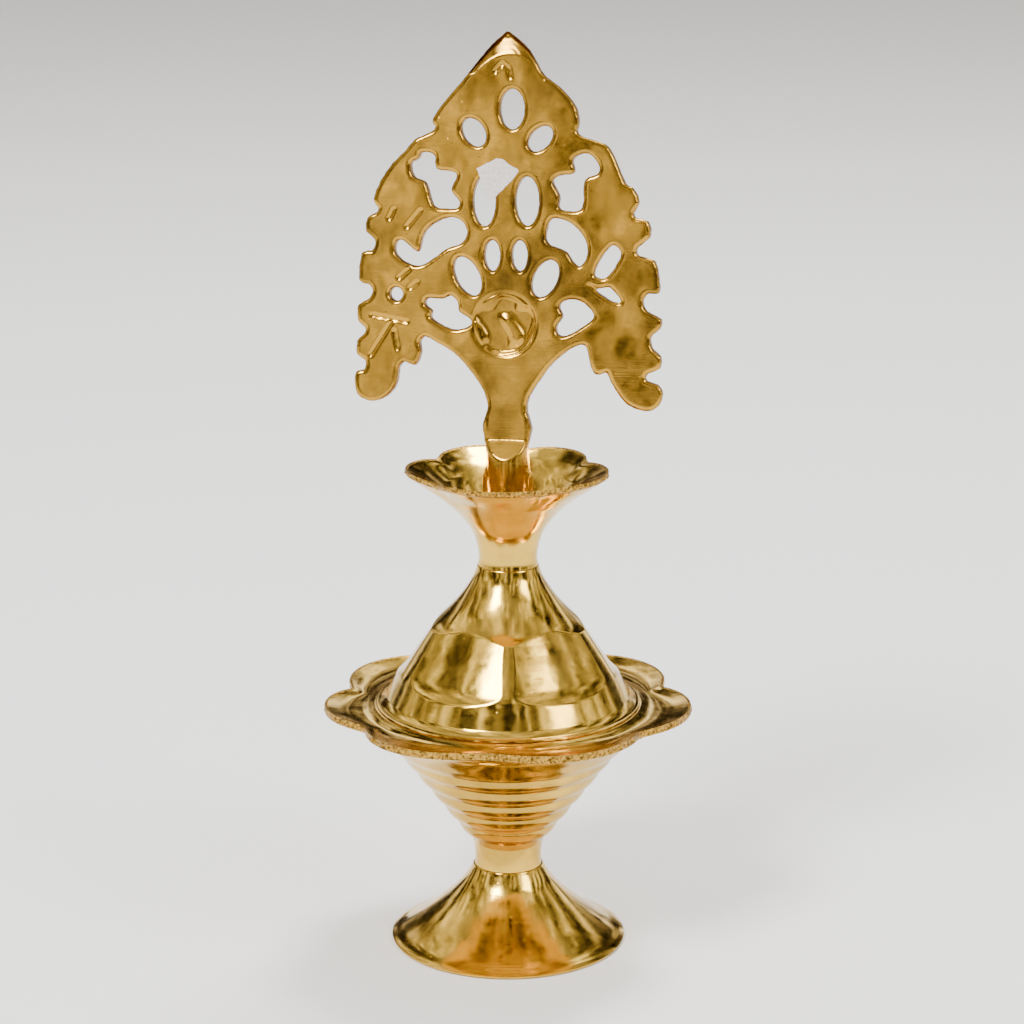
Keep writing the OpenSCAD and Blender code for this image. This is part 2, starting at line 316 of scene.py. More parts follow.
@dataclass(frozen=True)
class RoughCast(Mottled):
    """Sand-cast brass left as it came from the mould: grainy, darker and only lightly wiped."""

    name: str = "sand_cast_brass"
    colour: str = "AD7E30"
    dark: str = "5A3C12"
    grain_mm: float = 0.35
    detail: float = 3.0
    grain_roughness: float = 0.6
    dark_below: float = 0.35
    bump: float = 0.6
    bump_mm: float = 0.25
    metallic: float = 1.0
    roughness: float = 0.38


@dataclass(frozen=True)
class ZincSteel(Mottled):
    """Mild steel rod and washers with bright zinc plating: cool grey, softly mottled by its spangle."""

    name: str = "zinc_plated_steel"
    colour: str = "B4B6B2"
    dark: str = "8E8A7C"
    grain_mm: float = 1.2
    detail: float = 4.0
    grain_roughness: float = 0.5
    dark_below: float = 0.35
    bump: float = 0.2
    bump_mm: float = 0.05
    metallic: float = 1.0
    roughness: float = 0.36


@dataclass(frozen=True)
class LabelPaper(Mottled):
    """Uncoated white label paper: matt, faintly fibrous, a little grubby."""

    name: str = "label_paper"
    colour: str = "E2DAD6"
    dark: str = "BFB4AE"
    grain_mm: float = 0.5
    detail: float = 6.0
    grain_roughness: float = 0.7
    dark_below: float = 0.3
    bump: float = 0.5
    bump_mm: float = 0.06
    metallic: float = 0.0
    roughness: float = 0.85


class Finish(Enum):
    """The finishes on the lamp."""

    TURNED = Brass("lathe_polished_brass")
    GROUND = Brass("ground_cast_brass", colour="B98C32", tarnish="4F3A14", tarnish_share=0.85,
                   roughness=0.17, lathe_depth=0.0, wave_size_mm=16.0, wave_depth=0.3, pit_share=0.5,
                   scratch_depth=0.3, anisotropy=0.0)
    ROUGH = RoughCast()
    RIM = RoughCast("pitted_cast_rim", colour="CFA043", dark="4E3612", grain_mm=0.55)
    STEEL = ZincSteel()
    MACHINED = Brass("machined_brass", colour="D9B766", tarnish="B08B45", roughness=0.24,
                     lathe_depth=0.25, wave_depth=0.03)
    PAPER = LabelPaper()

    def material(self) -> bpy.types.Material:
        """Return the finish's material, building it the first time."""
        made = bpy.data.materials.get(self.value.name)
        return made or self.value.build()


# Mesh building ------------------------------------------------------------


def turned_shell(outline: list[Point], segments: int) -> bmesh.types.BMesh:
    """Turn a closed section round the lamp's axis, as one eighth that is then copied round.

    Args:
        outline: Section points in order, radius and height in millimetres. A section that ends on the
            axis at both ends is left open there, and the poles are merged.
        segments: Steps in the full turn, a multiple of 8.

    Returns:
        A closed mesh in millimetres with its faces pointing outwards.
    """
    mesh = bmesh.new()
    ring = [mesh.verts.new((r, 0, z)) for r, z in outline]
    on_axis = outline[0][0] == 0 and outline[-1][0] == 0
    pairs = list(zip(ring, ring[1:])) + ([] if on_axis else [(ring[-1], ring[0])])
    edges = [mesh.edges.new(pair) for pair in pairs]
    wedge = FULL_TURN / 8
    bmesh.ops.spin(mesh, geom=ring + edges, cent=(0, 0, 0), axis=(0, 0, 1), angle=wedge,
                   steps=segments // 8, use_merge=False)
    for turn in (wedge, 2 * wedge, 4 * wedge):
        copy = bmesh.ops.duplicate(mesh, geom=mesh.verts[:] + mesh.edges[:] + mesh.faces[:])["geom"]
        moved = [item for item in copy if isinstance(item, bmesh.types.BMVert)]
        bmesh.ops.rotate(mesh, verts=moved, cent=(0, 0, 0), matrix=Matrix.Rotation(turn, 3, "Z"))
    bmesh.ops.remove_doubles(mesh, verts=mesh.verts, dist=2e-4)
    bmesh.ops.recalc_face_normals(mesh, faces=mesh.faces)
    return mesh


def pull_in(vert: bmesh.types.BMVert, limit: float) -> None:
    """Bring a vertex that is too far out straight in towards the lamp's axis.

    Args:
        vert: The vertex.
        limit: The radius that it may have, in the mesh's own unit.
    """
    radius = math.hypot(vert.co.x, vert.co.y)
    if radius > limit:
        vert.co.x *= limit / radius
        vert.co.y *= limit / radius


def to_piece(mesh: bmesh.types.BMesh, name: str, finish: Finish,
             sharp_deg: float = 38.0) -> bpy.types.Object:
    """Turn a mesh in millimetres into a finished object in metres.

    Args:
        mesh: The mesh, which is freed.
        name: The object's name.
        finish: The finish it wears.
        sharp_deg: Edges that fold more than this stay crisp.

    Returns:
        The new object, at the origin.
    """
    bmesh.ops.scale(mesh, vec=(MM, MM, MM), verts=mesh.verts)
    data = bpy.data.meshes.new(name)
    mesh.to_mesh(data)
    mesh.free()
    data.shade_smooth()
    data.set_sharp_from_angle(angle=math.radians(sharp_deg))
    data.materials.append(finish.material())
    piece = bpy.data.objects.new(name, data)
    bpy.context.scene.collection.objects.link(piece)
    return piece


def place_piece(piece: bpy.types.Object, body: str, slot: str, *nodes: str) -> None:
    """Tie a piece to its body and hide the CAD nodes that it stands for.

    Args:
        piece: The finished object.
        body: The body it moves with.
        slot: The record's material slot. Not used.
        nodes: The CAD nodes that it replaces.
    """
    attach(piece, body)
    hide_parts(*nodes)
    LOG.info("%s: %d faces, moves with %s", piece.name, len(piece.data.polygons), body)


@dataclass
class PetalRing:
    """The petals round a dish: arcs that meet in filed notches."""

    tip_r: float
    notch_r: float
    notches_deg: list[float]
    hinge_r: float
    notch_blend: float = 0.8
    rim_width: float = 0.75

    def petal_at(self, angle: float) -> tuple[float, float]:
        """Find where a direction lies within its petal.

        Args:
            angle: Direction from the axis, in radians.

        Returns:
            The outline's radius there, and a place across the petal from -1 to 1.
        """
        degrees = math.degrees(angle) % 360
        count = len(self.notches_deg)
        for i, start in enumerate(self.notches_deg):
            end = self.notches_deg[(i + 1) % count] + (360 if i == count - 1 else 0)
            turned = degrees + 360 if degrees < start and i == count - 1 else degrees
            if start <= turned <= end:
                half = math.radians(end - start) / 2
                off = math.radians(turned - (start + end) / 2)
                centre = (self.tip_r ** 2 - self.notch_r ** 2) / (
                    2 * (self.tip_r - self.notch_r * math.cos(half)))
                arc_r = self.tip_r - centre
                reach = centre * math.cos(off) + math.sqrt(arc_r ** 2 - (centre * math.sin(off)) ** 2)
                near = (half - abs(off)) * self.notch_r
                scoop = 0.5 * max(0.0, 1 - near / self.notch_blend) ** 2
                return reach + scoop, off / half
        raise ValueError(f"no petal holds {degrees} degrees")

    def shape(self, mesh: bmesh.types.BMesh, top_z: float, lift: float, droop: float,
              grit: float, seed: float) -> None:
        """Pull a round dish's edge into petals and give it its cast edge.

        Args:
            mesh: The turned dish, in millimetres, whose rim is at the tip radius.
            top_z: Only what is above this height is shaped.
            lift: How far the middle of each petal's edge rises.
            droop: How far the edge drops beside each notch.
            grit: Depth of the rough cast edge.
            seed: Shifts the roughness.
        """
        for vert in mesh.verts:
            radius = math.hypot(vert.co.x, vert.co.y)
            if radius <= self.hinge_r or vert.co.z < top_z:
                continue
            angle = math.atan2(vert.co.y, vert.co.x)
            reach, across = self.petal_at(angle)
            share = (radius - self.hinge_r) / (self.tip_r - self.hinge_r)
            new_radius = self.hinge_r + (reach - self.hinge_r) * share
            edge = smoothstep(0.55, 1.0, share)
            z = vert.co.z + edge * (lift * math.cos(across * math.pi / 2) - droop * across ** 6)
            rim = smoothstep(0.965, 1.0, share) * (1 - smoothstep(0.8, 1.0, abs(across)))
            if rim > 0:
                # Lumps a little under a millimetre across, closer together up the edge than along it
                at = Vector((vert.co.x, vert.co.y, vert.co.z * 1.5 + seed)) * 0.9
                rough = noise.fractal(at * 1.6, 1.0, 2.0, 3)
                new_radius -= grit * rim * (0.5 + rough)
                z += grit * 0.35 * rim * rough
            vert.co = Vector((new_radius * math.cos(angle), new_radius * math.sin(angle), z))
        for face in mesh.faces:
            at = face.calc_center_median()
            if at.z > top_z and math.hypot(at.x, at.y) > self.notch_r - 0.5:
                reach = self.petal_at(math.atan2(at.y, at.x))[0]
                if math.hypot(at.x, at.y) > reach - self.rim_width:
                    face.material_index = 1


# Sub-assemblies -----------------------------------------------------------


@dataclass
class Foot:
    """The flared hollow foot. Sizes are millimetres."""

    rim_r: float = 24.0
    height: float = 16.0
    wall: float = 1.7
    boss_z: float = 11.0
    bore_r: float = 2.6
    segments: int = 288
    flare: list[Point] = field(default_factory=lambda: [
        (24, 0.6), (23.2, 1.1), (21, 2.2), (17, 5), (12.8, 8.6), (9.3, 12.3), (7.6, 15), (7.15, 15.9)])

    def build(self) -> None:
        """Build the foot's shell and dress it."""
        inside = [(self.rim_r - self.wall, 0.15), (22, 0.35), (19.8, 1.2), (16, 3.6), (11.8, 7.2),
                  (8.6, 10.2), (7.6, self.boss_z)]
        section = ([(self.rim_r - self.wall + 0.15, 0), (self.rim_r - 0.45, 0), (self.rim_r - 0.1, 0.25)]
                   + smooth_line(self.flare) + [(7.0, self.height), (self.bore_r, self.height),
                                                (self.bore_r, self.boss_z)]
                   + smooth_line(inside)[::-1])
        shell = turned_shell(section, self.segments)
        for vert in shell.verts:
            vert.co.z += 0.06 * noise.noise(vert.co * 0.12) * smoothstep(1.0, 4.0, vert.co.z)
        place_piece(to_piece(shell, "foot_shell", Finish.TURNED), "base", "turned_brass", "foot")


@dataclass
class Bowl:
    """The ribbed cone and its seven-petal dish, cast in one. Sizes are millimetres."""

    stem_r: float = 6.9
    stem_z: float = 16.0
    mouth_r: float = 22.3
    seat_z: float = 50.8
    floor_z: float = 25.5
    rib_count: int = 5
    rib_bulge: float = 0.5
    rib_low: Point = (7.9, 22.2)
    rib_high: Point = (22.3, 41.3)
    segments: int = 448
    petals: PetalRing = field(default_factory=lambda: PetalRing(
        37.6, 32.9, [15, 66, 116, 167, 211, 262, 322], 28.4))

    def ribs(self) -> list[Point]:
        """Work out the section of the turned ribs.

        Returns:
            Section points from the lowest rib to the highest.
        """
        low, high = Vector(self.rib_low), Vector(self.rib_high)
        steps = 9
        outward = Vector((high.y - low.y, low.x - high.x)).normalized()
        line = []
        for i in range(self.rib_count * steps):
            along, within = i / (self.rib_count * steps), (i % steps) / steps
            at = low.lerp(high, along) + outward * self.rib_bulge * (math.sin(math.pi * within) - 0.5)
            line.append((at.x, at.y))
        return line

    def build(self) -> None:
        """Build the bowl and dress it."""
        tip = self.petals.tip_r
        outside = smooth_line([(self.stem_r, self.stem_z + 0.05), (self.stem_r - 0.1, 17.5),
                               (self.stem_r, 19.4), (7.2, 21)])
        under = smooth_line([(24.2, 42.8), (26.4, 45.2), (29.5, 47.6), (33, 48.7), (tip - 0.3, 49.9)])
        over = smooth_line([(tip - 0.25, 51.35), (35.5, 50.85), (32.5, 50.15), (30, 50.05), (28.2, 50.35),
                            (27.0, self.seat_z)])
        inside = smooth_line([(self.mouth_r, self.seat_z - 0.4), (self.mouth_r, 47), (20.8, 44), (17.2, 38.8),
                              (8.4, 27.4), (5.5, self.floor_z)], 1.2)
        section = ([(0, self.stem_z), (self.stem_r - 0.15, self.stem_z)] + outside + self.ribs()
                   + [self.rib_high] + under + [(tip, 50.3), (tip, 50.95)] + over
                   + [(self.mouth_r + 0.3, self.seat_z)] + inside + [(0, self.floor_z)])
        dish = turned_shell(section, self.segments)
        self.petals.shape(dish, top_z=47.0, lift=0.15, droop=0.35, grit=0.5, seed=3.0)
        piece = to_piece(dish, "petal_dish", Finish.TURNED)
        piece.data.materials.append(Finish.RIM.material())
        place_piece(piece, "base", "turned_brass", "petal_bowl")


@dataclass
class Dome:
    """The bell-shaped cover with its ground flats. Sizes are millimetres."""

    flange_r: float = 26.8
    seat_z: float = 50.8
    skirt_r: float = 22.0
    neck_z: float = 79.7
    boss_z: float = 73.0
    bore_r: float = 2.05
    flats_deg: tuple[float, ...] = (16, 90, 164, 236.5, 303.5)
    flat_low: Point = (20.35, 59.0)
    flat_high: Point = (14.9, 67.1)
    flat_crown_r: float = 30.0
    flat_top_z: float = 71.0
    flange_clear: float = 3.0
    roll_depth: float = 0.66
    roll_height: float = 2.6
    unevenness: float = 0.07
    skirt_height: float = 3.0
    segments: int = 576

    def grind_flats(self, mesh: bmesh.types.BMesh) -> None:
        """Grind the flats, each a little crowned and not quite even, as hand grinding leaves them.

        Args:
            mesh: The turned dome, in millimetres.
        """
        slope = (self.flat_high[0] - self.flat_low[0]) / (self.flat_high[1] - self.flat_low[1])
        low_z = self.flat_low[1]
        for vert in mesh.verts:
            z = vert.co.z
            if not self.seat_z + self.flange_clear < z < self.flat_top_z:
                continue
            radius = math.hypot(vert.co.x, vert.co.y)
            angle = math.atan2(vert.co.y, vert.co.x)
            offs = [math.remainder(angle - math.radians(turn), FULL_TURN) for turn in self.flats_deg]
            number = min(range(len(offs)), key=lambda k: abs(offs[k]))
            off = offs[number]
            rolled = self.roll_depth * (max(0.0, low_z - z) / self.roll_height) ** 2
            spot = Vector((number * 7.3, z * 0.15, radius * math.sin(off) * 0.1))
            uneven = self.unevenness * noise.noise(spot)
            centre = self.flat_low[0] + slope * (z - low_z) + rolled + uneven
            crown = max(math.sin(off) ** 2 / (2 * self.flat_crown_r), 1e-9)
            pull_in(vert, (math.sqrt(math.cos(off) ** 2 + 4 * crown * centre) - math.cos(off)) / (2 * crown))

    def build(self) -> None:
        """Build the dome and dress it."""
        skirt_z = self.seat_z - self.skirt_height
        inner_r = self.skirt_r - 1.5
        outside = smooth_line([(24.7, 52.45), (23.8, 54.3), (22.75, 56.4), (21.9, 58.1), (19.95, 61.1),
                               (17.95, 64.1), (16, 67.05)], 0.32)
        flare = smooth_line([(15.85, 67.2), (14, 68.5), (11.1, 71.4), (8.75, 74.4), (7, 77.3),
                             (6.2, 79.6)], 0.35)
        inside = smooth_line([(inner_r, self.seat_z), (19.8, 56), (16.2, 61.5), (12.4, 66), (8.6, 70),
                              (6.2, self.boss_z)], 1.2)
        skirt = [(inner_r, skirt_z), (self.skirt_r - 0.2, skirt_z), (self.skirt_r, skirt_z + 0.2),
                 (self.skirt_r, self.seat_z)]
        flange = [(self.flange_r - 0.2, self.seat_z), (self.flange_r, self.seat_z + 0.2),
                  (self.flange_r - 0.1, 51.23), (26.1, 51.33), (25.9, 51.45)]
        bore = [(6.1, self.neck_z), (self.bore_r, self.neck_z), (self.bore_r, self.boss_z)]
        section = skirt + flange + outside + flare + bore + inside[::-1]
        bell = turned_shell(section, self.segments)
        self.grind_flats(bell)
        piece = to_piece(bell, "bell_cover", Finish.TURNED, sharp_deg=30)
        place_piece(piece, "dome", "turned_brass", "bell_dome")


@dataclass
class OilCup:
    """The trumpet-shaped oil cup with five spouts. Sizes are millimetres."""

    neck_z: float = 79.7
    floor_z: float = 89.0
    socket_z: float = 84.5
    socket_r: float = 2.68
    segments: int = 400
    petals: PetalRing = field(default_factory=lambda: PetalRing(
        20.7, 17.6, [25.5, 81, 145, 218, 292], 13.5, notch_blend=1.4))

    def build(self) -> None:
        """Build the cup and dress it."""
        tip = self.petals.tip_r
        outside = smooth_line([(6.1, self.neck_z + 0.1), (5.9, 81.6), (6.4, 84.6), (7.6, 87.5), (10.4, 91),
                               (13.8, 94), (17.6, 96.6), (tip - 0.3, 98.3)], 0.3)
        inside = smooth_line([(tip - 0.25, 99.3), (16.8, 97.6), (12.8, 94.8), (9.2, 91.4), (7, 89.6),
                              (5.6, self.floor_z)], 0.3)
        section = ([(0, self.neck_z), (6.0, self.neck_z)] + outside + [(tip, 98.6), (tip, 99.0)] + inside
                   + [(self.socket_r + 0.2, self.floor_z), (self.socket_r, self.floor_z - 0.2),
                      (self.socket_r, self.socket_z), (0, self.socket_z)])
        cup = turned_shell(section, self.segments)
        self.petals.shape(cup, top_z=90.0, lift=0.3, droop=0.5, grit=0.4, seed=11.0)
        piece = to_piece(cup, "spouted_cup", Finish.TURNED)
        piece.data.materials.append(Finish.RIM.material())
        place_piece(piece, "cup", "turned_brass", "oil_cup")


@dataclass
class Plaque:
    """The pierced cast plaque on its round stem. Sizes are millimetres."""

    base_z: float = 91.2
    thickness: float = 3.0
    turn_deg: float = 10.0
    lean_deg: float = 8.0
    tilt_deg: float = 1.4
    voxel: float = 0.3
    roundel_at: Point = (-0.5, 36.7)
    roundel_r: float = 6.1
    gouges: list[tuple[Point, Point]] = field(default_factory=lambda: [
        ((-27.3, 38.4), (-20.2, 37.1)), ((-23.4, 37.0), (-27.7, 30.4)), ((-22.8, 35.3), (-22.2, 31.7)),
        ((-23.7, 57.5), (-22.7, 59.5)), ((-20.1, 55.9), (-17.4, 59.1)), ((-21.8, 45.8), (-19.7, 47.6)),
        ((-19.5, 43.8), (-18.1, 45.0)), ((-2.4, 86.2), (-0.9, 87.9)), ((-0.9, 87.9), (0.3, 86.8)),
        ((0.3, 86.8), (0.7, 85.1))])
    stem_r: float = 4.4
    facet_y: float = 10.0
    gouge_half: float = 0.45
    gouge_depth: float = 0.4
    stem_top_y: float = 19.0
    bevel_from_y: float = 86.0
    edge_band: float = 0.35

    def plane(self) -> Matrix:
        """Give the transform from the plaque's own plane to the lamp.

        Returns:
            A matrix: x runs across the plaque, y up it and z to its front.
        """
        return (Matrix.Translation((0, 0, self.base_z))
                @ Matrix.Rotation(math.radians(-self.turn_deg), 4, "Z")
                @ Matrix.Rotation(math.radians(90 - self.lean_deg), 4, "X")
                @ Matrix.Rotation(math.radians(self.tilt_deg), 4, "Z"))

    def edge_points(self, mesh: bmesh.types.BMesh) -> KDTree:
        """Collect points along the plaque's outline and its openings.

        Args:
            mesh: The plain plaque in its own plane.

        Returns:
            A tree of the points, laid flat.
        """
        points = []
        for face in mesh.faces:
            if abs(face.normal.z) < 0.3 and face.calc_center_median().y > 18:
                for edge in face.edges:
                    a, b = edge.verts[0].co, edge.verts[1].co
                    count = max(1, round((a - b).length / 0.2))
                    points += [a.lerp(b, k / count) for k in range(count + 1)]
        tree = KDTree(len(points))
        for i, point in enumerate(points):
            tree.insert((point.x, point.y, 0), i)
        tree.balance()
        return tree

    def remesh(self, plain: bpy.types.Mesh) -> bmesh.types.BMesh:
        """Turn the plain solid into an even skin that can be worked.

        Args:
            plain: A copy of the CAD solid in the plaque's own plane, in millimetres.

        Returns:
            The even mesh.
        """
        holder = bpy.data.objects.new("plaque_blank", plain)
        bpy.context.scene.collection.objects.link(holder)
        grid = holder.modifiers.new("even", "REMESH")
        grid.mode = "VOXEL"
        grid.voxel_size = self.voxel
        even = bpy.data.meshes.new_from_object(holder.evaluated_get(bpy.context.evaluated_depsgraph_get()))
        bpy.data.objects.remove(holder)
        skin = bmesh.new()
        skin.from_mesh(even)
        bpy.data.meshes.remove(even)
        return skin

    def roundel_depth(self, x: float, y: float) -> float:
        """Give the depth of the round cast hollow, with the wavy ridges left in it.

        Args:
            x: Place across the plaque.
            y: Place up the plaque.

        Returns:
            Depth in millimetres, 0 outside it.
        """
        dx, dy = x - self.roundel_at[0], y - self.roundel_at[1]
        radius, angle = math.hypot(dx, dy), math.atan2(dy, dx)
        lobes = self.roundel_r * (1 + 0.035 * math.sin(3 * angle + 0.6) + 0.025 * math.sin(5 * angle))
        inside = 1 - smoothstep(lobes - 0.9, lobes + 0.1, radius)
        ridge = math.sin(dx * 0.85 + 1.1 * math.sin(dy * 0.55) + 0.5) * math.cos(dy * 0.42 + 0.5)
        return inside * (0.85 - 0.6 * smoothstep(0.0, 0.7, ridge))

    def face_wave(self, x: float, y: float) -> float:
        """Give the slow waves that grinding by hand leaves in the front.

        Args:
            x: Place across the plaque.
            y: Place up the plaque.

        Returns:
            Height above the level face, in millimetres.
        """
        return 0.22 * noise.noise(Vector((x, y, 0)) * 0.075)

    def stem_front(self, x: float, y: float) -> float:
        """Give the height of the stem's front, round below and ground to a sloping facet above.

        Args:
            x: Place across the plaque.
            y: Place up the plaque.

        Returns:
            Height in front of the plaque's middle plane, in millimetres.
        """
        round_z = math.sqrt(max(self.stem_r ** 2 - x * x, 0.0))
        level = self.thickness / 2 + self.face_wave(x, y)
        facet_z = max(level, self.stem_r - 0.75 * (y - self.facet_y))
        return min(round_z, facet_z)

    def gouge_at(self, x: float, y: float) -> float:
        """Give the depth of the chisel marks left in the front.

        Args:
            x: Place across the plaque.
            y: Place up the plaque.

        Returns:
            Depth in millimetres, 0 away from them.
        """
        deepest = 0.0
        for (x0, y0), (x1, y1) in self.gouges:
            if min(x0, x1) - 1 < x < max(x0, x1) + 1 and min(y0, y1) - 1 < y < max(y0, y1) + 1:
                run_x, run_y = x1 - x0, y1 - y0
                along = ((x - x0) * run_x + (y - y0) * run_y) / (run_x ** 2 + run_y ** 2)
                t = min(max(along, 0.0), 1.0)
                away = math.hypot(x - x0 - t * run_x, y - y0 - t * run_y)
                deepest = max(deepest, self.gouge_depth * (1 - smoothstep(0.1, self.gouge_half, away)))
        return deepest

    def tip_bevel(self, x: float, y: float) -> float:
        """Give the depth of the filed bevel at the tip, hatched near its right edge.

        Args:
            x: Place across the plaque.
            y: Place up the plaque.

        Returns:
            Depth in millimetres, 0 below the bevel.
        """
        above = y - (89.7 - 0.075 * (x - 0.6) ** 2)
        if above <= 0 or y < self.bevel_from_y:
            return 0.0
        hatch = 0.1 * math.sin((x + y) * 5.2) * smoothstep(0.5, 2.5, x)
        return min(0.42 * above, 1.3) + hatch * smoothstep(0, 0.6, above)

    def work_surface(self, skin: bmesh.types.BMesh, edges: KDTree) -> None:
        """Round the pierced edges, sink the roundel and model the other face's raised borders.

        Args:
            skin: The even plaque in its own plane.
            edges: Points along the outline and the openings.
        """
        half = self.thickness / 2
        for vert in skin.verts:
            x, y, z = vert.co
            if y < self.stem_top_y:
                if y > 1 and z > 0.5 and abs(x) < 3.8:
                    vert.co.z = self.stem_front(x, y)
                continue
            to_edge = edges.find((x, y, 0))[2]
            from_roundel = math.hypot(x - self.roundel_at[0], y - self.roundel_at[1])
            by_roundel = from_roundel < self.roundel_r + 0.5
            if z > half - self.edge_band or (z > 0 and by_roundel):
                z = half if by_roundel else z
                z -= 0.3 * (1 - smoothstep(0.0, 0.75, to_edge)) ** 2
                z -= self.roundel_depth(x, y) + self.gouge_at(x, y) + self.tip_bevel(x, y)
                z += self.face_wave(x, y)
            elif z < -half + self.edge_band:
                raised = 0.45 * bead(to_edge, 0.95, 0.6)
                hollow = 0.25 * smoothstep(1.6, 3.0, to_edge)
                rosette = 0.9 * (1 - smoothstep(2.0, 6.2, from_roundel))
                z += hollow - raised - rosette + 0.08 * noise.noise(vert.co * 0.9)
            else:
                away = vert.normal * 0.1 * noise.noise(vert.co * 1.1)
                x, y, z = vert.co + away
            vert.co = (x, y, z)

    def build(self) -> None:
        """Build the plaque from the CAD solid's outline and dress it."""
        to_own = self.plane().inverted() @ Matrix.Scale(1 / MM, 4)
        blank = bmesh.new()
        blank.from_mesh(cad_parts["finial_plaque"].data)
        bmesh.ops.remove_doubles(blank, verts=blank.verts, dist=1e-7)
        bmesh.ops.transform(blank, matrix=to_own, verts=blank.verts)
        blank.normal_update()
        edges = self.edge_points(blank)
        plain = bpy.data.meshes.new("plaque_blank")
        blank.to_mesh(plain)
        blank.free()
        skin = self.remesh(plain)
        self.work_surface(skin, edges)
        bmesh.ops.smooth_vert(skin, verts=skin.verts, factor=0.4, use_axis_x=True, use_axis_y=True,
                              use_axis_z=True)
        sides = [face for face in skin.faces if abs(face.normal.z) < 0.6 and face.calc_center_median().y > 12]
        backs = [face for face in skin.faces if face.normal.z < -0.6]
        for face in sides + backs:
            face.material_index = 1
        bmesh.ops.transform(skin, matrix=self.plane(), verts=skin.verts)
        piece = to_piece(skin, "pierced_plaque", Finish.GROUND, sharp_deg=75)
        piece.data.materials.append(Finish.ROUGH.material())
        place_piece(piece, "finial", "cast_brass", "finial_plaque")


@dataclass
class Label:
    """The torn paper label stuck on the plaque. Sizes are millimetres."""

    plaque: Plaque
    thickness: float = 0.12
    tear_seed: int = 7
    outline: list[Point] = field(default_factory=lambda: [
        (0.6, 70.6), (2.2, 70), (3.4, 68.8), (2.6, 67.2), (1.4, 65.4), (0.4, 64.6), (-0.8, 63.2),
        (-2.4, 61.8), (-4, 61.6), (-4.8, 64), (-6, 67.4), (-2.8, 69)])

    def build(self) -> None:
        """Build the label and dress it."""
        sheet = bmesh.new()
        corners = [sheet.verts.new((x, y, 0)) for x, y in self.outline]
        sheet.faces.new(corners)
        bmesh.ops.subdivide_edges(sheet, edges=sheet.edges, cuts=5, use_grid_fill=False)
        # Vector noise is shifted by a seed, which comes from the clock where none is set
        noise.seed_set(self.tear_seed)
        for vert in sheet.verts:
            torn = noise.noise_vector(vert.co * 1.7)
            vert.co += Vector((torn.x, torn.y, 0)) * 0.16
        bmesh.ops.triangulate(sheet, faces=sheet.faces)
        bmesh.ops.subdivide_edges(sheet, edges=sheet.edges, cuts=2)
        for vert in sheet.verts:
            vert.co.z = 0.05 + 0.04 * noise.noise(vert.co * 0.6)
        bmesh.ops.recalc_face_normals(sheet, faces=sheet.faces)
        bmesh.ops.solidify(sheet, geom=sheet.faces[:], thickness=self.thickness)
        lift = Matrix.Translation((0, 0, self.plaque.thickness / 2))
        bmesh.ops.transform(sheet, matrix=self.plaque.plane() @ lift, verts=sheet.verts)
        bmesh.ops.recalc_face_normals(sheet, faces=sheet.faces)
        place_piece(to_piece(sheet, "torn_label", Finish.PAPER), "finial", "paper", "paper_label")


@dataclass
class ThreadedJoint:
    """A threaded stud with its washer and its hexagon nut. Sizes are millimetres."""

    name: str
    body: str
    stud_r: float
    stud_low: float
    stud_high: float
    washer_r: float
    washer_low: float
    washer_t: float
    nut_flats: float
    nut_low: float
    nut_t: float
    pitch: float = 0.7
    hole_gap: float = 0.05

    def stud(self) -> bpy.types.Object:
        """Build the stud with its rolled thread.

        Returns:
            The stud.
        """
        turns = int((self.stud_high - self.stud_low - 0.6) / self.pitch)
        core = self.stud_r - 0.28
        crest = self.stud_r - 0.02
        section = [(0, self.stud_low), (core - 0.1, self.stud_low)]
        for i in range(turns):
            z = self.stud_low + 0.3 + i * self.pitch
            section += [(core, z), (crest, z + self.pitch * 0.42), (crest, z + self.pitch * 0.55)]
        section += [(core, self.stud_high - 0.3), (core - 0.1, self.stud_high), (0, self.stud_high)]
        return to_piece(turned_shell(section, 64), f"{self.name}_threaded_stud", Finish.STEEL)

    def washer(self) -> bpy.types.Object:
        """Build the pressed washer with its rolled edge.

        Returns:
            The washer.
        """
        low, high = self.washer_low, self.washer_low + self.washer_t
        outer, hole = self.washer_r, self.stud_r + self.hole_gap
        edge = 0.15
        section = [(hole, low), (outer - edge, low), (outer, low + edge), (outer, high - edge),
                   (outer - edge, high), (hole, high)]
        return to_piece(turned_shell(section, 96), f"{self.name}_flat_washer", Finish.STEEL)

    def nut(self) -> bpy.types.Object:
        """Build the hexagon nut with its turned chamfers.

        Returns:
            The nut.
        """
        low, high = self.nut_low, self.nut_low + self.nut_t
        half = self.nut_flats / 2
        corner = half / math.cos(math.pi / 6)
        hole = self.stud_r + self.hole_gap
        section = [(hole + 0.3, low), (half - 0.1, low), (corner, low + 0.5), (corner, high - 0.5),
                   (half - 0.1, high), (hole, high), (hole, low + 0.35)]
        block = turned_shell(section, 192)
        for vert in block.verts:
            off = math.atan2(vert.co.y, vert.co.x) % (math.pi / 3) - math.pi / 6
            pull_in(vert, half / math.cos(off))
        return to_piece(block, f"{self.name}_hex_nut", Finish.MACHINED, sharp_deg=25)

    def build(self, stud_node: str, washer_node: str, nut_node: str) -> None:
        """Build the three pieces and dress them.

        Args:
            stud_node: CAD node of the stud.
            washer_node: CAD node of the washer.
            nut_node: CAD node of the nut.
        """
        place_piece(self.stud(), self.body, "zinc_steel", stud_node)
        place_piece(self.washer(), self.body, "zinc_steel", washer_node)
        place_piece(self.nut(), self.body, "nut_brass", nut_node)


# Studio -------------------------------------------------------------------


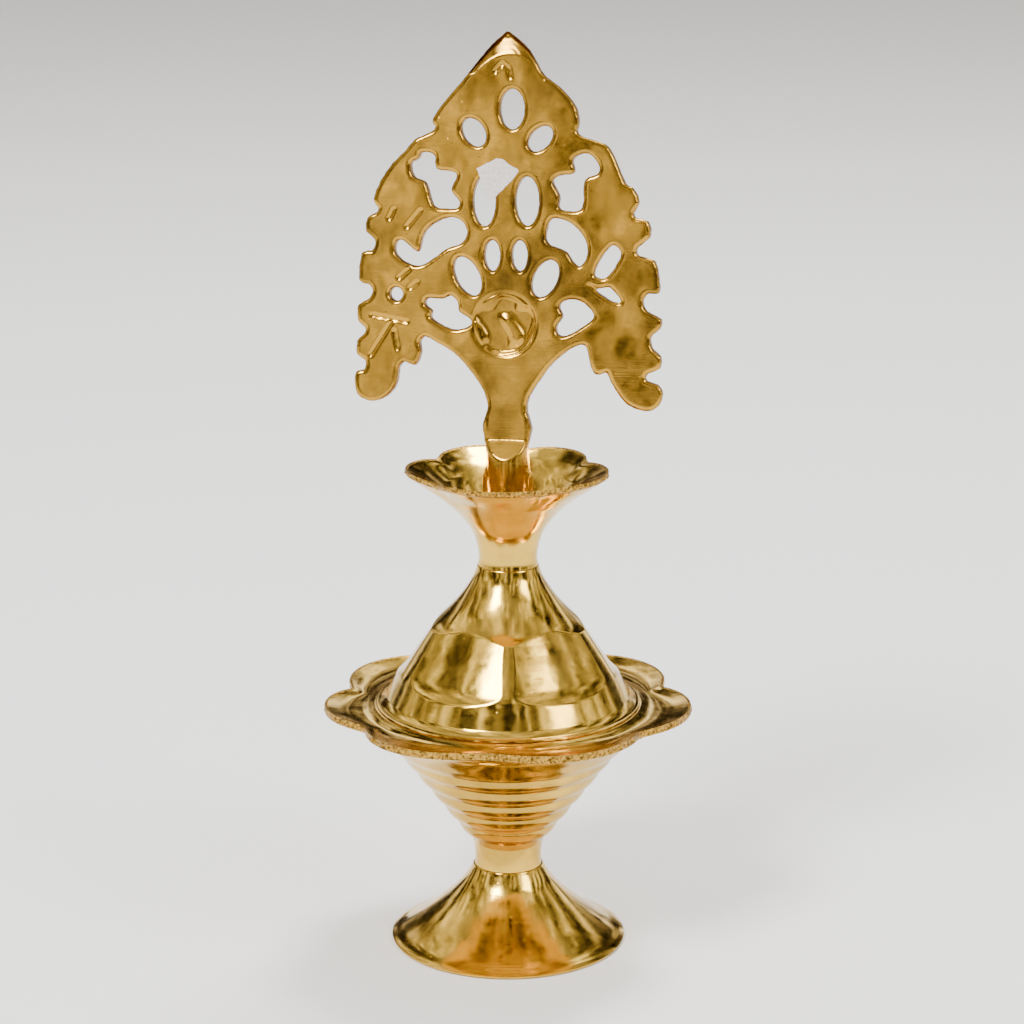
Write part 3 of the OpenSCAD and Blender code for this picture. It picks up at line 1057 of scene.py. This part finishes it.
@dataclass
class Studio:
    """A pale floor, soft lights and the camera. Sizes are metres, the lens and sensor millimetres."""

    floor_half: float = 6.0
    camera_at: tuple[float, float, float] = (0.0008, -0.5613, 0.2366)
    look_at: tuple[float, float, float] = (0.0008, 0.0, 0.0904)
    lens: float = 102.0
    sensor: float = 36.0
    lights_aim_at: tuple[float, float, float] = (0.0, 0.0, 0.09)
    band_tilt: tuple[float, float, float] = (0.9, 0.9, 0.5)
    room_strength: float = 3.0
    daylight_strength: float = 0.5

    def floor(self) -> None:
        """Lay the pale floor."""
        plane = bmesh.new()
        bmesh.ops.create_grid(plane, x_segments=4, y_segments=4, size=self.floor_half)
        data = bpy.data.meshes.new("studio_floor")
        plane.to_mesh(data)
        plane.free()
        material = bpy.data.materials.new("white_paper_sweep")
        material.use_nodes = True
        shader = material.node_tree.nodes["Principled BSDF"]
        shader.inputs["Base Color"].default_value = linear("F7F7F7")
        shader.inputs["Roughness"].default_value = 0.9
        shader.inputs["Specular IOR Level"].default_value = 0.1
        data.materials.append(material)
        sweep = bpy.data.objects.new("studio_floor", data)
        bpy.context.scene.collection.objects.link(sweep)

    def lamp(self, name: str, at: tuple[float, float, float], size: float, power: float) -> None:
        """Hang one soft square light that faces the lamp.

        Args:
            name: The light's name.
            at: Where it hangs.
            size: Length of its side.
            power: Power in watts.
        """
        light = bpy.data.lights.new(name, "AREA")
        light.size = size
        light.energy = power
        holder = bpy.data.objects.new(name, light)
        holder.location = at
        holder.rotation_mode = "QUATERNION"
        holder.rotation_quaternion = (Vector(self.lights_aim_at) - Vector(at)).to_track_quat("-Z", "Y")
        bpy.context.scene.collection.objects.link(holder)

    def daylight(self) -> None:
        """Add a wide soft light from overhead, so that the whole floor is evenly pale."""
        light = bpy.data.lights.new("soft_daylight", "SUN")
        light.angle = math.radians(80)
        light.energy = self.daylight_strength
        holder = bpy.data.objects.new("soft_daylight", light)
        bpy.context.scene.collection.objects.link(holder)

    def surroundings(self) -> None:
        """Fill the room with soft light that has the bright panels and dim gaps of a real studio."""
        world = bpy.data.worlds.new("studio_room")
        world.use_nodes = True
        tree = world.node_tree
        background = tree.nodes["Background"]
        way = add_node(tree, "ShaderNodeTexCoord").outputs["Generated"]
        level = add_node(tree, "ShaderNodeVectorMath", {"operation": "MULTIPLY"}, {0: way, 1: (1, 1, 0)})
        compass = add_node(tree, "ShaderNodeVectorMath", {"operation": "NORMALIZE"}, {0: level.outputs[0]})
        tilt = add_node(tree, "ShaderNodeVectorMath", {"operation": "MULTIPLY"}, {0: way, 1: self.band_tilt})
        narrow = add_node(tree, "ShaderNodeVectorMath", {"operation": "ADD"}, {
            0: compass.outputs[0], 1: tilt.outputs[0]})
        bands = add_node(tree, "ShaderNodeTexNoise", inputs={
            "Vector": narrow.outputs[0], "Scale": 4.6, "Detail": 3.0, "Roughness": 0.55})
        ramp = add_node(tree, "ShaderNodeValToRGB", inputs={"Fac": bands.outputs["Fac"]})
        set_ramp(ramp, [(0.42, linear("060503")), (0.50, linear("2A2318")), (0.55, linear("8B8473")),
                        (0.66, linear("FFFFFF"))])
        tree.links.new(ramp.outputs["Color"], background.inputs["Color"])
        background.inputs["Strength"].default_value = self.room_strength
        bpy.context.scene.world = world

    def camera(self) -> None:
        """Set up the camera."""
        data = bpy.data.cameras.new("studio_camera")
        data.lens = self.lens
        data.sensor_width = self.sensor
        data.clip_start = 0.01
        holder = bpy.data.objects.new("studio_camera", data)
        holder.location = self.camera_at
        holder.rotation_mode = "QUATERNION"
        holder.rotation_quaternion = (Vector(self.look_at) - Vector(self.camera_at)).to_track_quat("-Z", "Y")
        bpy.context.scene.collection.objects.link(holder)
        bpy.context.scene.camera = holder

    def build(self) -> None:
        """Set up the whole studio."""
        self.floor()
        self.surroundings()
        self.lamp("key_light", (-0.7, -0.9, 1.3), 0.45, 32)
        self.lamp("fill_light", (1.1, -0.7, 0.9), 0.5, 10)
        self.lamp("top_light", (0.25, 0.5, 1.5), 0.4, 22)
        self.daylight()
        self.camera()


def main() -> None:
    """Build the lamp and its studio."""
    logging.basicConfig(level=logging.INFO, format="%(name)s: %(message)s")
    plaque = Plaque()
    Foot().build()
    Bowl().build()
    Dome().build()
    OilCup().build()
    plaque.build()
    Label(plaque).build()
    ThreadedJoint("foot", "base", stud_r=2.5, stud_low=5, stud_high=22.5, washer_r=6, washer_low=10,
                  washer_t=1, nut_flats=8, nut_low=6, nut_t=4).build("foot_stud", "foot_washer", "foot_nut")
    ThreadedJoint("neck", "dome", stud_r=2, stud_low=66.5, stud_high=83, washer_r=4.5, washer_low=72.2,
                  washer_t=0.8, nut_flats=7, nut_low=69, nut_t=3.2).build("cup_stud", "neck_washer",
                                                                       "neck_nut")
    Studio().build()


if __name__ == "__main__":
    main()
